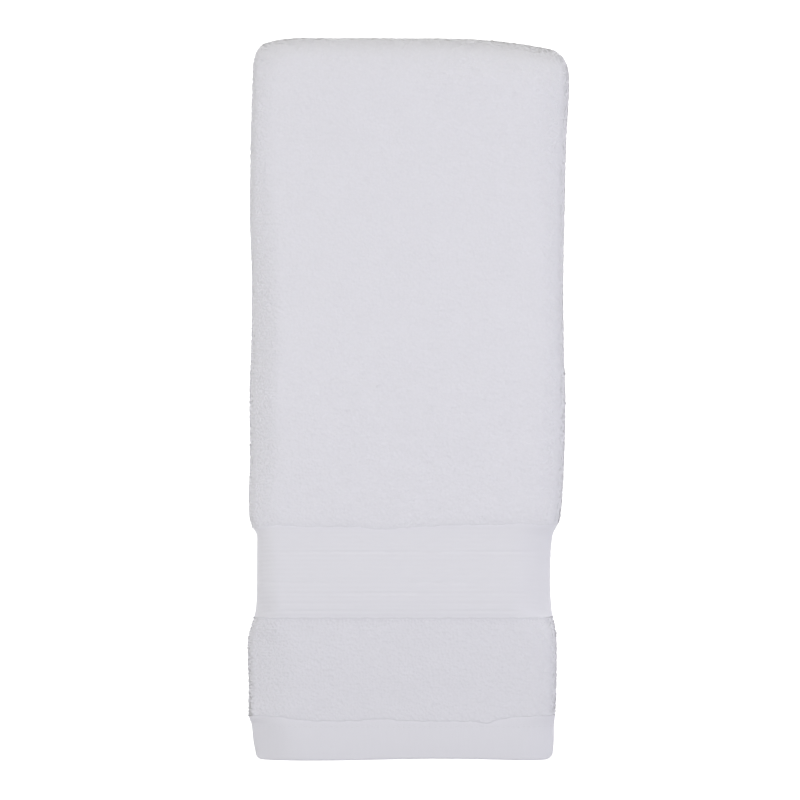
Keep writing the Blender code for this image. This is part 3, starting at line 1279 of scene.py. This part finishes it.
@dataclass
class Pile:
    """The loops of yarn that stand on the cloth where they show."""

    cloth: FoldedCloth
    across_pitch: float = 0.00132
    along_pitch: float = 0.00142
    yarn: float = 0.00086  # its diameter
    loop_width: float = 0.00115
    arch: float = 0.00030
    rings: int = 5
    sides: int = 3
    softness: float = 0.92  # how much of the light that meets a loop spreads round it
    lean: float = 0.06  # of the loops below the border, towards the hem
    bow: float = 0.8  # the lower, the squarer a loop's arch
    jitter: float = 0.30  # of a pitch, each way
    spans: tuple[float, float] = (0.8, 1.2)  # least and most, as shares of the loop's width
    yarns: tuple[float, float] = (0.88, 1.10)  # the same of the yarn's thickness
    arches: tuple[float, float] = (0.7, 1.3)  # and of the arch
    uneven: float = 0.00004  # how much lower some loops stand
    edge_clear: float = 0.0009
    sway_reach: float = 0.006  # farther than any edge sways
    sway_start: float = 0.4  # the share of it where loops start beyond an edge's middle
    lip_pitch: float = 0.00095
    lip_inset: float = 0.00035
    lip_drift: float = 0.00006
    lip_spin: float = 0.15  # radians, each way
    lip_span: float = 1.35  # of its pitch
    lip_yarns: tuple[float, float] = (0.95, 1.05)
    lip_arch: float = 0.5  # of the other loops'
    pulled_share: float = 0.008
    pulled_rise: float = 0.00035
    probe: float = 0.0002  # the step that reads the cloth's directions
    seed: int = 11

    def bounds(self, region: Region) -> tuple[tuple[float, float], list[tuple[float, float]]]:
        """The stretch of flat cloth that a region covers.

        Args:
            region: The region.

        Returns:
            Metres across, from and to, and a list of metres along, from and to.
        """
        fold = self.cloth.fold
        seen = (fold.at_panel, fold.at_left_arc)
        third = (fold.leg - fold.border_end) / 3
        near, far = fold.border_end + third, fold.border_end + 2 * third
        up = [(fold.hem_depth, fold.border_start), (fold.border_end, fold.leg)]
        down = [(fold.length - high, fold.length - low) for low, high in reversed(up)]
        return {
            Region.LOWER: (seen, [(fold.hem_depth, fold.border_start)]),
            Region.MIDDLE_NEAR: (seen, [(fold.border_end, near)]),
            Region.MIDDLE: (seen, [(near, far)]),
            Region.MIDDLE_FAR: (seen, [(far, fold.leg)]),
            Region.LEFT: ((fold.at_left_arc, fold.at_first_side), up + down),
            Region.RIGHT: ((fold.at_right_arc, fold.at_panel), up + down),
            Region.FOLD: ((fold.at_right_arc, fold.at_first_side), [(fold.leg, fold.length - fold.leg)]),
        }[region]

    def scattered(self, region: Region, chance: np.random.Generator) -> Loops:
        """A region's loops, but for those at the edges of its pile.

        Args:
            region: The region.
            chance: Where random numbers come from.

        Returns:
            The loops.
        """
        cloth, fold = self.cloth, self.cloth.fold
        (left, right), stretches = self.bounds(region)
        found = []
        for low, high in stretches:
            reach = [self.past_end(place) for place in (low, high)]
            start, end = low - reach[0], high + reach[1]
            columns = max(1, round((right - left) / self.across_pitch))
            rows = max(1, round((end - start) / self.along_pitch))
            i, j = np.meshgrid(np.arange(columns), np.arange(rows))
            # Every other row stands half a pitch aside.
            i = (i + 0.25 + 0.5 * (j % 2) + chance.uniform(-self.jitter, self.jitter, i.shape)) / columns
            j = (j + 0.5 + chance.uniform(-self.jitter, self.jitter, j.shape)) / rows
            across = (left + (right - left) * i).ravel()
            along = (start + (end - start) * j).ravel()
            from_hem = fold.course(along)[2]
            kept = cloth.stands(across, along)
            for edge in cloth.pile_edges:
                past = edge.pile_side * cloth.past(edge, across, from_hem)
                kept &= (past > self.edge_clear) | (past < -self.sway_reach)
            found.append(np.stack((across, along), axis=-1)[kept])
        across, along = np.concatenate(found).T
        count = len(across)
        pulled = chance.uniform(0, 1, count) < self.pulled_share
        return Loops(
            across=across,
            along=along,
            spin=chance.uniform(0, math.pi, count),
            span=self.loop_width * chance.uniform(*self.spans, count),
            thick=self.yarn / 2 * chance.uniform(*self.yarns, count),
            arch=self.arch * chance.uniform(*self.arches, count),
            raised=self.pulled_rise * pulled - self.uneven * chance.uniform(0, 1, count),
        )

    def past_end(self, place: float) -> float:
        """How far past a stretch's end its loops may start.

        Args:
            place: The stretch's end, in metres along the cloth.

        Returns:
            The distance, 0 unless the pile has an edge there.
        """
        from_hem = min(place, self.cloth.fold.length - place)
        at_edge = any(abs(from_hem - edge.from_hem) < NEAR for edge in self.cloth.pile_edges)
        return self.sway_start * self.sway_reach if at_edge else 0.0

    def lips(self, region: Region, chance: np.random.Generator) -> Loops:
        """The even rows of loops at the edges of a region's pile.

        Args:
            region: The region.
            chance: Where random numbers come from.

        Returns:
            The loops.
        """
        cloth, fold = self.cloth, self.cloth.fold
        (left, right), stretches = self.bounds(region)
        columns = round((right - left) / self.lip_pitch)
        across = left + (right - left) * (np.arange(columns) + 0.5) / columns
        found = [np.zeros((0, 2))]
        for edge in cloth.pile_edges:
            line = edge.line(fold.right_fold + fold.at_panel - across) + edge.pile_side * self.lip_inset
            for middle, along in ((edge.from_hem, line), (fold.length - edge.from_hem, fold.length - line)):
                if any(low - NEAR < middle < high + NEAR for low, high in stretches):
                    kept = cloth.stands(across, along)
                    found.append(np.stack((across, along), axis=-1)[kept])
        across, along = np.concatenate(found).T
        count = len(across)
        return Loops(
            across=across,
            along=along + chance.uniform(-self.lip_drift, self.lip_drift, count),
            spin=chance.uniform(-self.lip_spin, self.lip_spin, count),
            span=np.full(count, self.lip_span * self.lip_pitch),
            thick=self.yarn / 2 * chance.uniform(*self.lip_yarns, count),
            arch=np.full(count, self.lip_arch * self.arch),
            raised=np.zeros(count),
        )

    def build(self, region: Region, material: Any) -> Any:
        """Builds a region's loops as one piece.

        Args:
            region: The region.
            material: The loops' material.

        Returns:
            The piece.
        """
        chance = np.random.default_rng(self.seed + list(Region).index(region))
        loops = Loops.joined([self.scattered(region, chance), self.lips(region, chance)])
        fold, base, step = self.cloth.fold, self.cloth.ground / 2, self.probe
        foot = fold.place(loops.across, loops.along, base)
        side = unit(fold.place(loops.across + step, loops.along, base) - foot)
        way = unit(fold.place(loops.across, loops.along + step, base) - foot)
        up = (fold.place(loops.across, loops.along, base + step) - foot) / step
        frame = np.stack((side, way, up), axis=1)

        phi = np.linspace(0, math.pi, self.rings)
        run = loops.span[:, None] * -np.sign(np.cos(phi)) * np.abs(np.cos(phi)) ** self.bow / 2
        top = fold.terry / 2 - base - self.yarn / 2 + loops.raised
        rise = top[:, None] - loops.arch[:, None] * (1 - np.sin(phi) ** self.bow)
        turn = loops.spin[:, None]
        centre = np.stack((run * np.cos(turn), run * np.sin(turn), rise), axis=-1)
        flow = unit(np.gradient(centre, axis=1))
        plane = np.stack((-np.sin(turn), np.cos(turn), 0 * turn), axis=-1)
        plane = unit(plane - flow * (plane * flow).sum(-1, keepdims=True))
        other = np.cross(flow, plane)
        angle = np.arange(self.sides) * 2 * math.pi / self.sides
        ring = plane[:, :, None] * np.cos(angle)[:, None] + other[:, :, None] * np.sin(angle)[:, None]
        local = centre[:, :, None] + loops.thick[:, None, None, None] * ring
        points = foot[:, None, None] + np.einsum("nrsk,nkd->nrsd", local, frame)

        count = len(foot)
        faces = tube_faces(count, self.rings, self.sides)
        mesh = mesh_of(region.value, points.reshape(-1, 3), faces)
        self.lay_out(mesh, count)
        round_it = unit(np.einsum("nrsk,nkd->nrsd", ring, frame))
        leaned = unit(unit(up) + self.leaning(loops)[:, None] * way)
        soft = unit((1 - self.softness) * round_it + self.softness * leaned[:, None, None])
        mesh.normals_split_custom_set_from_vertices(soft.reshape(-1, 3))
        log.info("%s: %d loops, %d triangles", region.value, count, 2 * len(faces))
        return piece_of(region.value, mesh, [material])

    def leaning(self, loops: Loops) -> Array:
        """How far loops lean along the cloth, below the border and at the pile's edges.

        Args:
            loops: The loops.

        Returns:
            Each loop's lean, above 0 away from the front hem.
        """
        cloth, fold = self.cloth, self.cloth.fold
        from_hem = fold.course(loops.along)[2]
        lean = -self.lean * (from_hem < fold.border_start)
        for edge in cloth.pile_edges:
            past = edge.pile_side * cloth.past(edge, loops.across, from_hem)
            near = (past > -self.edge_clear) * smooth(1 - past / edge.droop_reach)
            lean = lean - edge.pile_side * edge.droop * near
        return np.where(loops.along > fold.length / 2, -lean, lean)

    def lay_out(self, mesh: Any, count: int) -> None:
        """Gives each loop a square of its own in a UV map for textures.

        Args:
            mesh: The loops' mesh.
            count: How many loops it has.
        """
        margin = 0.1
        side = math.ceil(math.sqrt(count))
        i, k = np.meshgrid(np.arange(self.rings - 1), np.arange(self.sides), indexing="ij")
        u = np.stack((i, i + 1, i + 1, i), axis=-1) / (self.rings - 1)
        v = np.stack((k, k, k + 1, k + 1), axis=-1) / self.sides
        cell = np.stack((u, v), axis=-1).reshape(1, -1, 2) * (1 - 2 * margin) + margin
        number = np.arange(count)
        corner = np.stack((number % side, number // side), axis=-1)[:, None]
        layer = mesh.uv_layers.new(name=MAP_NAME)
        layer.data.foreach_set("uv", ((corner + cell) / side).astype(np.float32).ravel())


# ---------------------------------------------------------------------------
# The stitching
# ---------------------------------------------------------------------------


@dataclass
class HemStitching:
    """A row of lockstitch along the front hem, where it shows."""

    cloth: FoldedCloth
    pitch: float = 0.0026
    length: float = 0.0019
    thread: float = 0.00042  # its thickness
    rings: int = 6
    sides: int = 6
    sunk: float = 0.00020
    dive: float = 0.0002  # how much deeper a stitch's ends are sunk
    least: float = 0.15  # the square of what is left of its thickness at its ends
    sway: float = 0.00012  # of the row to either side
    sway_rate: float = 900.0  # radians in a metre
    slant: float = 0.00008  # of each stitch

    def build(self, material: Any) -> Any:
        """Builds the stitches as one piece.

        Args:
            material: The thread's material.

        Returns:
            The piece.
        """
        fold, cloth = self.cloth.fold, self.cloth
        start, end = fold.at_right_arc, fold.at_first_side
        count = int((end - start) / self.pitch)
        middle = start + (np.arange(count) + 0.5) * (end - start) / count
        share = np.linspace(-1, 1, self.rings)
        across = middle[:, None] + share * self.length / 2
        drift = self.sway * np.sin(middle * self.sway_rate)[:, None] + self.slant * share
        along = cloth.stitch_line + drift
        arch = np.sqrt(np.maximum(0.0, 1 - share**4)) * self.thread / 2 - self.sunk - self.dive * share**8
        angle = np.arange(self.sides) * 2 * math.pi / self.sides
        taper = np.sqrt(np.maximum(self.least, 1 - share**6))
        width = self.thread / 2 * taper[None, :, None] * np.sin(angle)
        lift = self.thread / 2 * taper[None, :, None] * np.cos(angle)
        out = cloth.outside(across, along)[..., None] + arch[None, :, None] + lift
        points = fold.place(across[..., None], along[..., None] + width, out)
        # A stitch's points run the other way round from a loop's, so its faces are turned over.
        faces = tube_faces(count, self.rings, self.sides)[:, [0, 3, 2, 1]]
        mesh = mesh_of("hem_stitches", points.reshape(-1, 3), faces)
        log.info("hem_stitches: %d stitches", count)
        return piece_of("hem_stitches", mesh, [material])


# ---------------------------------------------------------------------------
# The studio
# ---------------------------------------------------------------------------


@dataclass
class Lamp:
    """A soft square light that faces the towel."""

    name: str
    place: tuple[float, float, float]
    power: float
    colour: Colour
    side: float = 0.5

    def hang(self) -> None:
        """Hangs the light."""
        data = bpy.data.lights.new(self.name, "AREA")
        data.shape = "SQUARE"
        data.size = self.side
        data.energy = self.power
        data.color = self.colour
        lamp = bpy.data.objects.new(self.name, data)
        lamp.location = self.place
        lamp.rotation_euler = (-Vector(self.place)).to_track_quat("-Z", "Y").to_euler()
        bpy.context.scene.collection.objects.link(lamp)


@dataclass
class Studio:
    """The floor, the lights and the camera."""

    pixel: float = 0.0004856  # metres of towel to a pixel of the photograph
    middle: tuple[float, float] = (-0.0040, -0.0005)  # under the picture's middle
    sight_height: float = 0.015  # where the outline is widest
    distance: float = 1.9
    lens: float = 85.0
    floor_side: float = 60.0
    floor_drop: float = 0.0004  # keeps the floor clear of the cloth's underside
    ambient: float = 0.02
    lamps: tuple[Lamp, ...] = (
        Lamp("overhead_light", (0.0, 0.0, 1.35), 5.42, (0.935, 0.935, 1.0)),
        Lamp("right_light", (0.75, 0.2, 1.1), 5.82, (0.98, 0.98, 1.0)),
        Lamp("left_light", (-0.75, 0.2, 1.1), 5.05, (1.0, 1.0, 0.88)),
        Lamp("near_light", (0.0, -0.75, 1.1), 1.45, (0.95, 0.95, 1.0)),
        Lamp("far_light", (0.3, 1.4, 0.28), 1.9, (1.0, 1.0, 0.75)),
    )

    def build(self) -> None:
        """Builds the studio."""
        self.lay_floor()
        for lamp in self.lamps:
            lamp.hang()
        self.light_room()
        self.aim_camera()

    def lay_floor(self) -> None:
        """Lays the floor that the towel rests on."""
        half = self.floor_side / 2
        corners = np.array([(-half, -half, 0), (half, -half, 0), (half, half, 0), (-half, half, 0)], float)
        mesh = mesh_of("floor", corners, np.array([[0, 1, 2, 3]]))
        mesh.materials.append(FloorFinish().material())
        floor = bpy.data.objects.new("floor", mesh)
        floor.location.z = -self.floor_drop
        bpy.context.scene.collection.objects.link(floor)

    def light_room(self) -> None:
        """Fills the room with even light."""
        world = bpy.data.worlds.new("room")
        world.use_nodes = True
        background = world.node_tree.nodes["Background"]
        background.inputs["Color"].default_value = (1.0, 1.0, 1.0, 1.0)
        background.inputs["Strength"].default_value = self.ambient
        bpy.context.scene.world = world

    def aim_camera(self) -> None:
        """Hangs the camera straight above the towel, framed as the photograph is."""
        data = bpy.data.cameras.new("camera")
        data.lens = self.lens
        data.sensor_fit = "HORIZONTAL"
        data.sensor_width = self.lens * self.pixel * PHOTO_SIDE / self.distance
        camera = bpy.data.objects.new("camera", data)
        x, y = self.middle
        camera.matrix_world = Matrix.Translation((x, y, self.sight_height + self.distance))
        bpy.context.scene.collection.objects.link(camera)
        bpy.context.scene.camera = camera
        bpy.context.scene.view_settings.view_transform = "Standard"


def main() -> None:
    """Builds the dressed towel and its studio."""
    logging.basicConfig(level=logging.INFO, format="%(message)s")
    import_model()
    fold = Fold()
    fold.fit(*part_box(NODE))
    shape = FoldedCloth(fold)
    cloth = shape.build()
    log.info("towel_cloth: %d faces", len(cloth.data.polygons))

    yarn = PileFinish().material()
    pile = Pile(shape)
    loops = [pile.build(region, yarn) for region in Region]
    stitches = HemStitching(shape).build(ThreadFinish().material())

    Studio().build()


if __name__ == "__main__":
    main()
